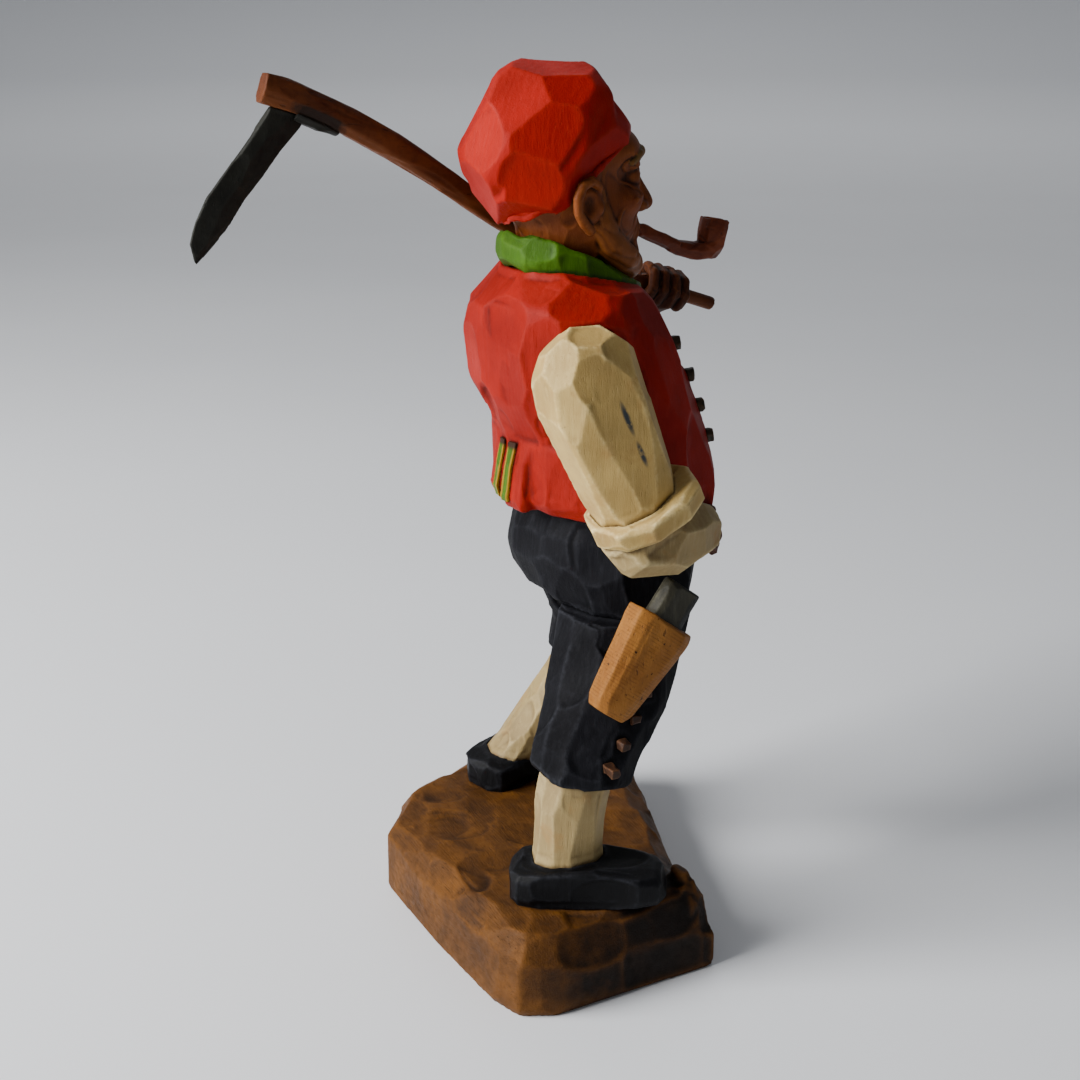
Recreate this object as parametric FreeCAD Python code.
"""Carved wooden mower with a scythe over the left shoulder, in millimetres.

The figure faces -Y, its right side is -X and +Z is up.  The origin is the middle of the
underside of the base.  Every part is whittled: a pile of outlines joined by flat knife cuts.
"""
import FreeCAD, Part
import math
import os

V = FreeCAD.Vector

# ---- driving dimensions ---------------------------------------------------------------
BASE_TOP = 22.0              # height of the ground the shoes stand on
STANCE = 30.0                # half distance between the ankles
WAIST_Z = 92.0               # where the breech legs meet the seat
NECK_BOTTOM_Z = 166.0        # foot of the neck, let into the shoulders
BRIM_TILT = math.radians(36) # the cap sits back by this much
SHOE_LENGTH = 41.0
SHOE_WIDTH = 18.6
HANDLE_X = 23.0              # the scythe lies in this plane, beside the neck
HANDLE_DIR = V(0.0, 0.947, 0.321)
GRIP_END = V(HANDLE_X, -60.0, 160.4)
GRIP_RADIUS = 1.9
GRIP_LENGTH = 27.0
BORE_CLEARANCE = 0.06        # all round, between grip and fist
PIPE_DIR = V(0.0, -0.94, -0.341)
PIPE_MOUTH = V(0.0, -20.0, 186.4)
PIPE_RADIUS = 1.5
PIPE_SOCKET = 7.0            # depth of the hole in the mouth
PIPE_CLEARANCE = 0.06
SLEEVE_RECESS = 2.2          # how far the armhole stands round the sleeve
BUTTON_RADIUS = 1.9
TRIM_THICKNESS = 0.9


# ---- whittling helpers ----------------------------------------------------------------
def unit(vector):
    return V(vector) * (1.0 / vector.Length)


def superellipse(angle, square):
    """Point of a unit oval; square 2 is an ellipse, larger numbers are boxier."""
    c, s = math.cos(angle), math.sin(angle)
    return (math.copysign(abs(c) ** (2.0 / square), c),
            math.copysign(abs(s) ** (2.0 / square), s))


def outline(centre, u, v, half_u, half_v, sides, turn=0.0, square=2.2, chip=0.0, seed=0):
    """Closed outline round centre in the plane of u and v, with a little knife unevenness."""
    points = []
    for i in range(sides):
        x, y = superellipse(2.0 * math.pi * (i + turn) / sides, square)
        uneven = 1.0 + chip * math.sin(3.1 * i + 1.7 * seed)
        points.append(V(centre) + u * (x * half_u * uneven) + v * (y * half_v * uneven))
    return points


def carved(outlines):
    """Closed solid of flat cuts stretched over a pile of outlines."""
    faces = []

    def cut(*points):
        faces.append(Part.Face(Part.makePolygon(list(points) + [points[0]])))

    count = len(outlines[0])
    for low, high in zip(outlines, outlines[1:]):
        for i in range(count):
            k = (i + 1) % count
            cut(low[i], low[k], high[k])
            cut(low[i], high[k], high[i])
    for end in (outlines[0], outlines[-1]):
        middle = sum(end, V()) * (1.0 / count)
        normal = (end[1] - end[0]).cross(end[count // 2] - end[0])
        if max(abs((p - middle).dot(unit(normal))) for p in end) < 1e-7:
            cut(*end)
        else:
            for i in range(count):
                cut(end[i], end[(i + 1) % count], middle)
    solid = Part.Solid(Part.Shell(faces))
    if solid.Volume < 0:
        solid.reverse()
    return solid


def trunk(levels, sides=12, slope=0.0, turn=0.0, square=2.2, chip=0.02):
    """Upright part: levels are (z, x, y, half width, half depth[, slope])."""
    rings = []
    for j, level in enumerate(levels):
        z, x, y, a, b = level[:5]
        lean = level[5] if len(level) > 5 else slope
        rings.append(outline(V(x, y, z), V(1, 0, 0), V(0, 1, lean), a, b, sides,
                             turn, square, chip, j))
    return carved(rings)


def limb(stations, across=V(1, 0, 0), sides=8, turn=0.5, square=2.4, chip=0.02):
    """Part along a path: stations are (centre, half width across, half depth)."""
    centres = [V(*c) for c, _, _ in stations]
    rings = []
    for j, (_, a, b) in enumerate(stations):
        ahead = unit(centres[min(j + 1, len(centres) - 1)] - centres[max(j - 1, 0)])
        u = unit(across - ahead * across.dot(ahead))
        rings.append(outline(centres[j], u, ahead.cross(u), a, b, sides, turn, square, chip, j))
    return carved(rings)


def rod(start, direction, length, radius):
    return Part.makeCylinder(radius, length, V(start), V(direction))


def block(centre, u, v, w, half):
    """Box about centre with its edges along u, v and w."""
    centre, u, v, w = V(*centre), unit(u), unit(v), unit(w)
    ends = []
    for k in (-1, 1):
        ends.append([centre + u * (i * half[0]) + v * (j * half[1]) + w * (k * half[2])
                     for i, j in ((-1, -1), (1, -1), (1, 1), (-1, 1))])
    return carved(ends)


def less(shape, *others):
    """Shape with its neighbours let into it."""
    for other in others:
        shape = shape.cut(other)
    return shape


# ---- base -----------------------------------------------------------------------------
def base_block():
    rim = [(-51, 30), (-47, 38), (-38, 41), (-8, 43.5), (24, 44), (42, 31), (52, 4),
           (53, -30), (43, -45), (31, -42), (4, -31.5), (-26, -20.5), (-43, -15), (-51.5, -18)]
    shoulder = [15.0, 16.5, 17.5, 16.0, 17.0, 15.5, 17.0, 15.0, 17.5, 16.0, 17.0, 17.0, 15.0, 10.0]
    middle = V(-2, 4, 0)

    def level(inset, height):
        ring = []
        for i, (x, y) in enumerate(rim):
            inward = unit(middle - V(x, y, 0))
            z = height if isinstance(height, float) else height[i]
            ring.append(V(x, y, z) + inward * inset)
        return ring

    block_body = carved([level(1.2, 0.0), level(0.0, 2.0), level(0.3, shoulder),
                         level(4.0, 20.2), level(7.5, BASE_TOP)])
    # low rock left standing on the front corner
    rock = carved([
        outline(V(-44.4, -12.6, 8.0), V(1, 0, 0), V(0, 1, 0), 6.4, 5.2, 7, 0.2, 2.2, 0.05, 1),
        outline(V(-44.0, -12.6, 19.0), V(1, 0, 0), V(0, 1, 0), 6.2, 4.2, 7, 0.2, 2.2, 0.05, 2),
        outline(V(-42.0, -12.0, 26.2), V(1, 0, 0), V(0, 1, 0.2), 3.6, 2.2, 7, 0.2, 2.2, 0.05, 3)])
    ground = block_body.fuse(rock).removeSplitter()
    # shallow gouge hollows in the ground
    hollows = [(-12, 26, 15, 1.3), (-2, 12, 17, 1.0), (13, 29, 16, 1.4), (6, -12, 15, 1.0),
               (-14, -8, 14, 0.9), (31, 25, 13, 0.9)]
    for x, y, radius, depth in hollows:
        ground = ground.cut(Part.makeSphere(radius, V(x, y, BASE_TOP + radius - depth)))
    return ground


# ---- legs -----------------------------------------------------------------------------
def shoe(heel, forward):
    """Blocky shoe: heel is the back of the sole, forward the way the toe points."""
    ahead = unit(V(*forward))
    side = V(0, 0, 1).cross(ahead)
    half = SHOE_WIDTH / 2.0
    plan = [(0.0, -0.5), (0.0, 0.5), (0.06, 0.9), (0.2, 1.04), (0.42, 1.0), (0.62, 0.94),
            (0.84, 0.9), (0.96, 0.7), (1.0, 0.3), (1.0, -0.3), (0.95, -0.7), (0.82, -0.9),
            (0.6, -0.92), (0.42, -1.0), (0.2, -1.04), (0.06, -0.88)]

    def height(share):
        if share < 0.55:
            return 9.2 + 3.2 * share
        return 11.0 - 5.0 * (share - 0.55)

    def level(inset, lift):
        ring = []
        for along, across in plan:
            a = inset + along * (SHOE_LENGTH - 2.0 * inset)
            c = across * (half - inset)
            ring.append(V(*heel) + ahead * a + side * c + V(0, 0, lift(along)))
        return ring

    return carved([level(0.8, lambda s: 0.0), level(0.0, lambda s: 2.2),
                   level(0.2, lambda s: height(s) - 2.4), level(1.2, lambda s: height(s) - 0.6),
                   level(3.4, lambda s: height(s) + 0.4)])


def stocking(levels):
    return trunk(levels, sides=10, turn=0.5, square=2.3, chip=0.02)


RIGHT_HEEL, RIGHT_TOE_WAY = (-24.5, 29.5, BASE_TOP), (-0.533, -0.847, 0)
LEFT_HEEL, LEFT_TOE_WAY = (29.0, 13.0, BASE_TOP), (0.27, -0.963, 0)

RIGHT_STOCKING = [(27.0, -STANCE, 15.5, 7.6, 9.0), (31.0, -STANCE, 15.3, 8.1, 9.4),
                  (36.0, -29.8, 14.6, 8.3, 9.2), (46.0, -29.4, 14.0, 9.0, 9.4),
                  (60.0, -28.6, 10.0, 9.2, 9.6)]
LEFT_STOCKING = [(27.0, 31.2, 1.5, 7.4, 8.4, -0.15), (31.5, 31.0, 0.5, 7.9, 8.8, -0.2),
                 (37.0, STANCE, -4.2, 8.1, 8.8, -0.3), (44.0, 28.8, -9.0, 8.7, 9.2, -0.4),
                 (53.0, 27.0, -15.0, 8.8, 9.4, -0.4), (62.0, 25.2, -20.4, 8.6, 9.2, -0.4)]
RIGHT_LEG = [(53.0, -29.5, 11.2, 10.8, 11.4, 0.2), (54.6, -29.4, 11.0, 12.7, 13.2, 0.22),
             (60.0, -27.9, 8.4, 13.2, 13.8, 0.22), (66.0, -26.0, 4.2, 13.6, 14.4, 0.22),
             (69.6, -24.8, 1.6, 13.9, 14.8, 0.22), (71.0, -24.2, 0.8, 14.6, 15.5, 0.2),
             (77.0, -21.2, -2.8, 15.2, 16.3, 0.1), (84.0, -18.6, -6.2, 15.4, 16.8),
             (WAIST_Z, -16.0, -10.0, 15.6, 17.0)]
LEFT_LEG = [(60.5, 24.8, -21.0, 10.0, 10.8, 0.2), (62.2, 24.4, -21.6, 11.6, 12.6, 0.2),
            (67.0, 23.2, -22.8, 12.4, 13.2, 0.2), (70.6, 22.2, -23.2, 12.6, 13.4, 0.15),
            (72.0, 21.8, -23.2, 13.2, 14.0, 0.15), (79.0, 19.2, -22.2, 13.6, 14.6, 0.05),
            (86.0, 17.0, -18.6, 14.2, 15.0), (WAIST_Z, 15.6, -14.4, 15.0, 15.8)]


def knee_buttons():
    """Four small knobs down the outer side of each breech leg, over the knee band."""
    knobs = []
    for side, knee in ((-1, RIGHT_LEG), (1, LEFT_LEG)):
        for row in range(4):
            share = row / 3.0
            low, high = knee[1], knee[6]
            z = low[0] + 5.5 + share * 15.5
            y = low[2] + (high[2] - low[2]) * share - 1.2
            x = low[1] + (high[1] - low[1]) * share + side * (low[3] + 0.6)
            knobs.append(block((x, y, z), V(1, 0, 0), V(0, 1, 0), V(0, 0, 1), (2.4, 1.4, 1.2)))
    return knobs


# ---- body -----------------------------------------------------------------------------
SEAT = [(WAIST_Z, 0.0, -12.4, 29.6, 18.4), (96.0, 0.0, -12.0, 29.6, 20.6),
        (103.0, 0.0, -10.8, 29.2, 22.2), (112.0, 0.0, -10.6, 28.0, 21.6),
        (119.0, 0.0, -10.6, 25.0, 19.0)]
WAISTCOAT = [(116.2, 0.0, -12.6, 28.8, 26.2, 0.1), (119.6, 0.0, -12.0, 30.4, 28.0, 0.1),
             (127.0, 0.0, -11.4, 31.0, 27.4, 0.06), (138.0, 0.0, -9.3, 31.0, 25.6),
             (151.0, 0.0, -3.8, 31.0, 26.0), (162.0, 0.0, -0.4, 30.2, 23.6),
             (171.0, 0.0, 1.6, 27.6, 20.2), (175.6, 0.0, 0.6, 23.4, 16.0, 0.08),
             (178.0, 0.0, 0.2, 15.6, 14.0, 0.2)]


def section_at(levels, z):
    """Half width, middle and half depth of an upright part at one height."""
    for low, high in zip(levels, levels[1:]):
        if z <= high[0]:
            share = (z - low[0]) / (high[0] - low[0])
            return [low[k] + (high[k] - low[k]) * share for k in (3, 2, 4)]
    return [levels[-1][k] for k in (3, 2, 4)]


def waistcoat_buttons():
    """Two upright rows of knobs, left and right of the front opening."""
    knobs = []
    for z, x in ((159.0, 13.5), (150.6, 14.5), (142.6, 15.5), (134.4, 16.0)):
        half_width, middle, half_depth = section_at(WAISTCOAT, z)
        y = middle - half_depth * math.sqrt(1.0 - (x / half_width) ** 2)
        for side in (-1, 1):
            out = unit(V(0.42 * side, -0.9, 0.15))
            knobs.append(rod(V(x * side, y, z) - out * 2.0, out, 4.4, BUTTON_RADIUS))
    return knobs


def coat_tail(side, foot):
    """One of the two short tails flaring out behind, either side of the vent."""
    return carved([[V(x * side, y, z) for x, y in ((0.2, 4.0), (9.5, 4.0), (8.5, back - 1.0),
                                                  (0.2, back))]
                   for z, back in ((foot, 17.8), (foot + 3.0, 18.6), (129.0, 17.6), (137.5, 15.6))])


def tail_trim(coat):
    """An upright braid strip along the vent edge of each tail."""
    skin = coat.copy()
    skin.translate(V(0, TRIM_THICKNESS, 0))
    strips = []
    for side in (-1, 1):
        strip = block((2.5 * side, 20.0, 128.0), V(1, 0, 0), V(0, 0, 1), V(0, 1, 0),
                      (1.5, 7.6, 14.0))
        strips.append(strip.common(skin).cut(coat))
    return strips


NECKERCHIEF = [(174.6, 0.0, -1.0, 14.8, 16.8, 0.27), (176.4, 0.0, -1.0, 16.2, 18.2, 0.29),
               (179.6, 0.0, -1.0, 16.0, 17.8, 0.37), (181.4, 0.0, -1.0, 14.6, 16.2, 0.42)]


# ---- head -----------------------------------------------------------------------------
def head():
    """Neck, skull, ears, nose, brow and chin-curtain beard in one carved piece."""
    skull = trunk([(NECK_BOTTOM_Z, 0, 2.0, 9.2, 10.0), (174.0, 0, 1.4, 9.8, 11.0),
                   (178.0, 0, -2.4, 11.4, 15.0, 0.2), (183.0, 0, -3.0, 12.8, 16.6, 0.1),
                   (189.0, 0, -1.6, 14.2, 18.0), (196.0, 0, 0.4, 15.4, 19.0),
                   (203.0, 0, 1.4, 14.8, 18.6), (208.5, 0, 2.4, 13.8, 17.6),
                   (213.0, 0, 4.0, 12.2, 14.0), (218.0, 0, 5.0, 9.0, 10.2),
                   (221.4, 0, 5.0, 4.6, 5.4)], sides=14, square=2.25, chip=0.0)
    nose = carved([
        [V(-3.4, -15.0, 190.6), V(3.4, -15.0, 190.6), V(2.6, -22.6, 191.2), V(0.0, -25.4, 191.8),
         V(-2.6, -22.6, 191.2)],
        [V(-2.4, -15.0, 196.0), V(2.4, -15.0, 196.0), V(1.6, -21.8, 196.0), V(0.0, -23.6, 196.0),
         V(-1.6, -21.8, 196.0)],
        [V(-1.8, -15.0, 204.0), V(1.8, -15.0, 204.0), V(1.1, -19.4, 204.0), V(0.0, -20.0, 204.0),
         V(-1.1, -19.4, 204.0)]])
    brow = limb([((-11.0, -12.6, 205.0), 1.2, 1.2), ((-5.6, -16.9, 206.4), 1.7, 1.5),
                 ((0.0, -17.8, 205.8), 1.2, 1.2), ((5.6, -16.9, 206.4), 1.7, 1.5),
                 ((11.0, -12.6, 205.0), 1.2, 1.2)], across=V(0, 0, 1), sides=6)
    beard = limb([((-14.2, -2.0, 192.0), 1.4, 3.0), ((-13.6, -6.0, 184.0), 2.2, 3.6),
                  ((-8.6, -14.4, 178.6), 3.0, 4.0), ((0.0, -18.6, 177.6), 3.2, 4.2),
                  ((8.6, -14.4, 178.6), 3.0, 4.0), ((13.6, -6.0, 184.0), 2.2, 3.6),
                  ((14.2, -2.0, 192.0), 1.4, 3.0)], across=V(0, 0, 1), sides=8)
    carving = skull
    for extra in (nose, brow, beard):
        carving = carving.fuse(extra)
    for side in (-1, 1):
        ear = carved([
            outline(V(13.4 * side, 2.6, 193.6), V(0, 1, -0.15), V(0, 0, 1), 3.4, 5.0, 8, 0.5),
            outline(V(16.2 * side, 3.2, 194.2), V(0, 1, -0.15), V(0, 0, 1), 4.2, 6.0, 8, 0.5),
            outline(V(17.4 * side, 4.0, 194.6), V(0, 1, -0.15), V(0, 0, 1), 3.4, 5.0, 8, 0.5)])
        carving = carving.fuse(ear)
    return carving.removeSplitter()


def cap():
    """Bulging knitted cap pulled well back, its brim sloping down to the nape."""
    up = V(0, math.sin(BRIM_TILT), math.cos(BRIM_TILT))
    along = V(0, math.cos(BRIM_TILT), -math.sin(BRIM_TILT))
    foot = V(0, 0.2, 199.6)
    rings = []
    for j, (rise, half_x, half_along, shift) in enumerate((
            (0.0, 16.2, 19.2, 0.8), (2.5, 17.6, 20.6, 0.6), (8.0, 18.8, 21.2, 0.4),
            (14.0, 18.8, 20.6, 0.0), (20.0, 16.8, 18.0, -0.6), (25.5, 12.2, 13.0, -1.0),
            (29.6, 5.6, 6.2, -1.2))):
        centre = foot + up * rise + along * shift
        rings.append(outline(centre, V(1, 0, 0), along, half_x, half_along, 12,
                             0.5 * (j % 2), 2.1, 0.025, j))
    return carved(rings)


def pipe():
    """Bent tobacco pipe with a round tenon standing in the mouth."""
    tenon = rod(PIPE_MOUTH - PIPE_DIR * (PIPE_SOCKET - 1.0), PIPE_DIR, PIPE_SOCKET + 1.0,
                PIPE_RADIUS)
    stem = limb([((0, -21.6, 185.8), 1.7, 1.7), ((0, -27.0, 183.6), 1.9, 1.8),
                 ((0, -33.0, 180.9), 2.1, 2.0), ((0, -38.5, 179.4), 2.6, 2.4),
                 ((0, -42.0, 180.0), 3.0, 2.8)], sides=8, turn=0.0, chip=0.01)
    bowl = limb([((0, -42.2, 177.6), 2.2, 2.2), ((0, -42.8, 180.0), 3.4, 3.5),
                 ((0, -43.6, 184.0), 3.9, 4.0), ((0, -44.2, 187.4), 3.7, 3.8)],
                sides=8, turn=0.0, chip=0.01)
    fire_hole = rod(V(0, -43.5, 183.6), V(0, -0.17, 0.985), 6.0, 2.3)
    return tenon.fuse(stem).fuse(bowl).removeSplitter().cut(fire_hole)


# ---- arms -----------------------------------------------------------------------------
RIGHT_SLEEVE = [((-31.5, 12.6, 168.6), 4.0, 6.4), ((-33.2, 12.8, 165.8), 8.8, 10.4),
                ((-34.4, 13.0, 159.0), 11.2, 13.4), ((-36.0, 11.0, 150.0), 11.2, 13.8),
                ((-37.6, 7.0, 139.0), 10.6, 12.4), ((-38.8, 3.2, 129.0), 9.6, 10.8),
                ((-39.2, 1.2, 122.0), 8.8, 9.8)]
RIGHT_FOREARM = [((-40.5, 9.4, 120.4), 5.6, 4.6), ((-40.5, 4.6, 118.6), 9.2, 8.4),
                 ((-39.6, -4.0, 117.8), 9.8, 9.4), ((-37.0, -12.0, 117.2), 9.0, 9.0),
                 ((-33.2, -19.6, 115.6), 7.0, 7.4)]
RIGHT_HAND = [((-34.6, -17.0, 115.6), 4.6, 4.6), ((-29.4, -24.0, 112.6), 5.4, 5.2),
              ((-24.0, -30.2, 109.4), 4.8, 4.6), ((-20.4, -34.0, 107.2), 3.0, 3.0)]
LEFT_SLEEVE = [((27.0, 0.0, 170.6), 4.0, 6.0), ((30.0, -1.0, 167.6), 8.6, 9.4),
               ((34.5, -4.6, 160.0), 11.0, 11.4), ((38.6, -9.4, 151.0), 10.6, 11.0),
               ((41.4, -13.8, 143.0), 9.6, 10.0), ((42.4, -16.6, 138.4), 8.4, 8.8)]
LEFT_FOREARM = [((43.8, -12.6, 133.2), 5.0, 5.0), ((43.0, -17.2, 136.6), 8.8, 8.8),
                ((39.6, -23.4, 143.8), 9.0, 8.8), ((34.6, -30.4, 152.6), 7.6, 7.8),
                ((30.0, -36.4, 160.6), 6.2, 6.4)]
LEFT_FIST = [((30.6, -34.6, 159.0), 4.8, 4.8), ((27.4, -38.8, 163.4), 6.0, 6.2),
             ((24.2, -42.4, 168.0), 6.6, 6.8), ((22.2, -44.4, 172.4), 6.0, 6.4),
             ((21.4, -45.0, 175.4), 4.0, 4.4)]


def cuff(centre, normal, half_u, half_v, u=V(1, 0, 0)):
    """Solid blank of a rolled cuff: a short band with bevelled edges."""
    normal = unit(V(*normal))
    u = unit(u - normal * u.dot(normal))
    v = normal.cross(u)
    rings = []
    for j, (rise, grow) in enumerate(((-3.4, -0.9), (-2.2, 0.3), (2.2, 0.6), (3.2, -0.4))):
        rings.append(outline(V(*centre) + normal * rise, u, v, half_u + grow, half_v + grow, 10,
                             0.5, 2.3, 0.015, j))
    return carved(rings)


# ---- scythe and whetstone -------------------------------------------------------------
def scythe_handle():
    """Crooked snath: a round grip, then a squarish bar sweeping up behind the shoulder."""
    grip = rod(GRIP_END, HANDLE_DIR, GRIP_LENGTH, GRIP_RADIUS)
    x = HANDLE_X
    shaft = limb([((x, -35.4, 168.7), 1.2, 1.2), ((x, -33.2, 169.5), 2.1, 2.1),
                  ((x, -20.0, 174.5), 2.3, 2.4),
                  ((x, -6.0, 180.8), 2.5, 2.7), ((x, 5.0, 186.6), 2.6, 2.9),
                  ((x, 20.0, 196.8), 2.9, 3.3), ((x, 36.0, 206.9), 3.0, 3.5),
                  ((x, 51.0, 215.0), 3.1, 3.6), ((x, 60.0, 218.8), 3.2, 3.8),
                  ((x, 68.2, 221.4), 3.2, 3.9)],
                 sides=8, turn=0.5, square=3.2, chip=0.015)
    return grip.fuse(shaft).removeSplitter()


def scythe_blade():
    """Curved blade with a thick back, running to a point below the handle."""
    x = HANDLE_X
    spine = [((x, 65.4, 218.2), 1.4), ((x, 68.5, 214.4), 1.5), ((x, 73.4, 208.4), 1.5),
             ((x, 78.2, 202.5), 1.5), ((x, 82.9, 196.8), 1.4), ((x, 86.1, 191.5), 1.2),
             ((x, 87.7, 186.3), 0.9), ((x, 87.0, 182.3), 0.4)]
    edge = [(x, 57.4, 215.0), (x, 59.3, 211.9), (x, 64.6, 206.5), (x, 69.3, 200.8),
            (x, 73.8, 195.9), (x, 78.3, 189.6), (x, 82.3, 185.2), (x, 86.4, 181.4)]
    rings = []
    for (back, half), front in zip(spine, edge):
        back, front = V(*back), V(*front)
        ridge = back * 0.58 + front * 0.42
        rings.append([back + V(-half * 0.6, 0, 0), back + V(half * 0.6, 0, 0),
                      ridge + V(half, 0, 0), front + V(0.25, 0, 0), front + V(-0.25, 0, 0),
                      ridge + V(-half, 0, 0)])
    return carved(rings)


def scythe_wedge():
    """Small dark wedge that pins the blade heel under the handle."""
    return limb([((HANDLE_X, 50.0, 210.4), 1.6, 0.9), ((HANDLE_X, 54.5, 212.4), 2.4, 1.8),
                 ((HANDLE_X, 60.5, 215.2), 2.4, 1.8)], sides=6, turn=0.0)


SHEATH_TOP, SHEATH_FOOT = V(-39.0, -6.2, 96.2), V(-39.4, 10.0, 74.4)


def sheath_axes():
    down = unit(SHEATH_FOOT - SHEATH_TOP)
    out = unit(V(-1, 0, 0) - down * V(-1, 0, 0).dot(down))
    return down, out, down.cross(out)


def whetstone_sheath():
    down, out, side = sheath_axes()
    rings = []
    for share, half_out, half_side in ((0.0, 5.2, 9.6), (0.12, 5.4, 9.4), (0.9, 4.6, 6.0),
                                       (1.0, 3.4, 4.6)):
        centre = SHEATH_TOP + (SHEATH_FOOT - SHEATH_TOP) * share
        rings.append(outline(centre, out, side, half_out, half_side, 8, 0.5, 3.0, 0.0))
    return carved(rings)


def whetstone():
    down, out, side = sheath_axes()
    middle = SHEATH_TOP - down * 0.5 + out * 0.4
    rings = []
    for rise, grow in ((9.2, -0.6), (8.6, 0.0), (-8.0, 0.0), (-8.8, -0.6)):
        rings.append(outline(middle - down * rise, out, side, 2.9 + grow, 5.6 + grow, 8, 0.5,
                             4.0, 0.0))
    return carved(rings)


# ---- hidden dowels --------------------------------------------------------------------
def dowels():
    x, y, z = V(1, 0, 0), V(0, 1, 0), V(0, 0, 1)
    arm = unit(V(*RIGHT_HAND[1][0]) - V(*RIGHT_FOREARM[3][0]))
    return {
        "sole_pegs": [rod(V(-30.6, 16.2, 12), z, 26, 2.5), rod(V(31.2, 0.0, 12), z, 22, 2.5)],
        "hip_pegs": [rod(V(-16, -9, 84), z, 16, 3.0), rod(V(15.6, -15, 85), z, 14, 3.0)],
        "waist_peg": [rod(V(0, -8, 108), z, 26, 5.0)],
        "neck_peg": [rod(V(0, 3, 156), z, 20, 3.0)],
        "shoulder_pegs": [rod(V(-36, 11, 156), x, 18, 2.5), rod(V(18, -3, 159), x, 16, 2.5)],
        "elbow_pegs": [rod(V(-39.4, 1.0, 116), z, 12, 2.0),
                       rod(V(43.2, -18.6, 133.6), unit(V(-0.15, 0.4, 0.9)), 11, 2.0)],
        "wrist_pegs": [rod(V(*RIGHT_FOREARM[3][0]), arm, 12, 1.6),
                       rod(V(33.0, -32.0, 155.2), unit(V(-0.48, -0.57, 0.66)), 9, 1.6)],
        "sheath_peg": [rod(V(-36.6, 2.4, 84.6), x, 8, 1.5)],
    }


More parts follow.
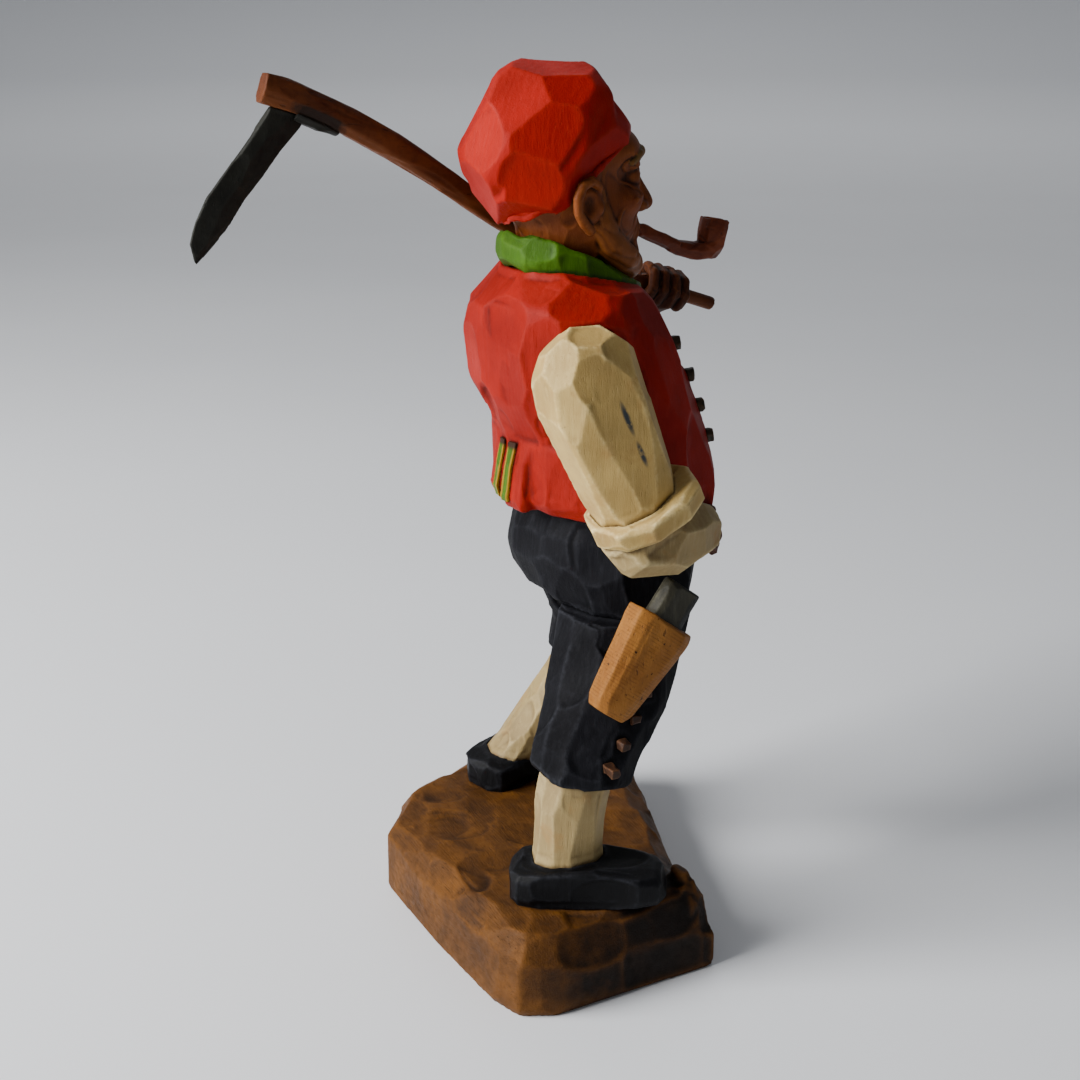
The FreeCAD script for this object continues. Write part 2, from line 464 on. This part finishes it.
# ---- assembly -------------------------------------------------------------------------
def build():
    pegs = dowels()
    node = {"base_block": base_block(),
            "right_shoe": shoe(RIGHT_HEEL, RIGHT_TOE_WAY),
            "left_shoe": shoe(LEFT_HEEL, LEFT_TOE_WAY),
            "right_stocking": stocking(RIGHT_STOCKING),
            "left_stocking": stocking(LEFT_STOCKING),
            "right_breech_leg": trunk(RIGHT_LEG, sides=11, square=2.25),
            "left_breech_leg": trunk(LEFT_LEG, sides=11, turn=0.5, square=2.25),
            "breeches_seat": trunk(SEAT, sides=14, square=2.3),
            "waistcoat": trunk(WAISTCOAT, sides=14, turn=0.5, square=2.25, chip=0.015),
            "neckerchief": trunk(NECKERCHIEF, sides=14, turn=0.5, square=2.1, chip=0.0),
            "head": head(), "cap": cap(), "pipe": pipe(),
            "right_sleeve": limb(RIGHT_SLEEVE, sides=9), "left_sleeve": limb(LEFT_SLEEVE, sides=9),
            "right_lower_sleeve": limb(RIGHT_FOREARM, sides=8),
            "left_lower_sleeve": limb(LEFT_FOREARM, sides=8),
            "right_hand": limb(RIGHT_HAND, across=V(0, 0, 1), sides=8),
            "left_fist": limb(LEFT_FIST, sides=9),
            "right_cuff": cuff((-39.6, 0.2, 126.4), (-0.05, 0.42, 0.9), 12.2, 14.2),
            "left_cuff": cuff((41.4, -19.6, 140.0), (-0.35, -0.62, 0.7), 11.6, 11.8),
            "scythe_handle": scythe_handle(), "scythe_blade": scythe_blade(),
            "scythe_wedge": scythe_wedge(),
            "whetstone_sheath": whetstone_sheath(), "whetstone": whetstone()}

    def let_in(name, *others):
        node[name] = less(node[name], *[node[o] for o in others])

    # feet and legs
    for side in ("right", "left"):
        let_in(side + "_shoe", side + "_stocking")
        let_in(side + "_breech_leg", side + "_stocking")
    let_in("left_breech_leg", "right_breech_leg")
    # body: the seat stands up inside the waistcoat, the neck inside the kerchief
    vent = carved([[V(-0.9, 4, 112), V(0.9, 4, 112), V(0.9, 30, 112), V(-0.9, 30, 112)],
                   [V(-0.3, 12, 134), V(0.3, 12, 134), V(0.3, 30, 134), V(-0.3, 30, 134)]])
    front_gap = carved([[V(-5.5, -48, 108), V(5.5, -48, 108), V(5.5, -26, 108), V(-5.5, -26, 108)],
                        [V(-0.4, -48, 130), V(0.4, -48, 130), V(0.4, -30, 130), V(-0.4, -30, 130)]])
    plain_coat = node["waistcoat"].fuse(coat_tail(-1, 118.6)).fuse(coat_tail(1, 120.4))
    trims = tail_trim(plain_coat)
    node["waistcoat"] = less(plain_coat, node["breeches_seat"], node["head"],
                             node["neckerchief"], vent, front_gap)
    let_in("neckerchief", "head")
    let_in("cap", "head")
    # arms: a shallow recess runs round each sleeve where it enters the armhole
    for side in ("right", "left"):
        let_in("waistcoat", side + "_sleeve")
    for path, inner in ((RIGHT_SLEEVE, -27.2), (LEFT_SLEEVE, 27.2)):
        wide = limb([(c, a + SLEEVE_RECESS, b + SLEEVE_RECESS) for c, a, b in path], sides=9)
        outside = Part.makeBox(30, 80, 80)
        outside.translate(V(inner - 30 if inner < 0 else inner, -40, 100))
        node["waistcoat"] = node["waistcoat"].cut(wide.common(outside))
    let_in("right_lower_sleeve", "right_sleeve")
    let_in("left_lower_sleeve", "left_sleeve")
    let_in("right_cuff", "right_sleeve", "right_lower_sleeve", "waistcoat")
    let_in("left_cuff", "left_sleeve", "left_lower_sleeve", "waistcoat")
    let_in("right_hand", "right_lower_sleeve")
    let_in("left_fist", "left_lower_sleeve")
    for name in ("waistcoat", "breeches_seat"):
        let_in(name, "right_hand", "right_lower_sleeve")
    # fits of the loose pieces
    bore = rod(GRIP_END, HANDLE_DIR, 60, GRIP_RADIUS + BORE_CLEARANCE)
    node["left_fist"] = node["left_fist"].cut(bore)
    socket = rod(PIPE_MOUTH - PIPE_DIR * PIPE_SOCKET, PIPE_DIR, 14, PIPE_RADIUS + PIPE_CLEARANCE)
    node["head"] = node["head"].cut(socket)
    # scythe and sheath
    let_in("scythe_blade", "scythe_handle")
    let_in("scythe_wedge", "scythe_handle", "scythe_blade")
    let_in("whetstone_sheath", "whetstone", "right_breech_leg")
    # knobs and braid
    knobs = {"waistcoat_buttons": waistcoat_buttons(), "knee_buttons": knee_buttons()}
    node["waistcoat_buttons"] = Part.makeCompound([less(k, node["waistcoat"])
                                                   for k in knobs["waistcoat_buttons"]])
    node["knee_buttons"] = Part.makeCompound(
        [less(k, node["right_breech_leg"], node["left_breech_leg"], node["whetstone_sheath"])
         for k in knobs["knee_buttons"]])
    node["tail_trim"] = Part.makeCompound([t for t in trims if t.Volume > 0.5])
    # dowels are let into everything they cross
    for name, rods in pegs.items():
        for other in list(node):
            if other in pegs:
                continue
            shape = node[other]
            for dowel in rods:
                if shape.BoundBox.intersect(dowel.BoundBox):
                    shape = shape.cut(dowel)
            node[other] = shape
    for name, rods in pegs.items():
        node[name] = Part.makeCompound(rods)
    return node


os.makedirs("parts", exist_ok=True)
for name, shape in build().items():
    solids = [s for s in shape.Solids if s.Volume > 0.4]
    result = solids[0] if len(solids) == 1 else Part.makeCompound(solids)
    print(f"{name:22s} solids {len(solids):2d}  faces {len(result.Faces):4d}"
          f"  volume {sum(s.Volume for s in solids):9.1f}  valid {result.isValid()}")
    result.exportStep(f"parts/{name}.step")
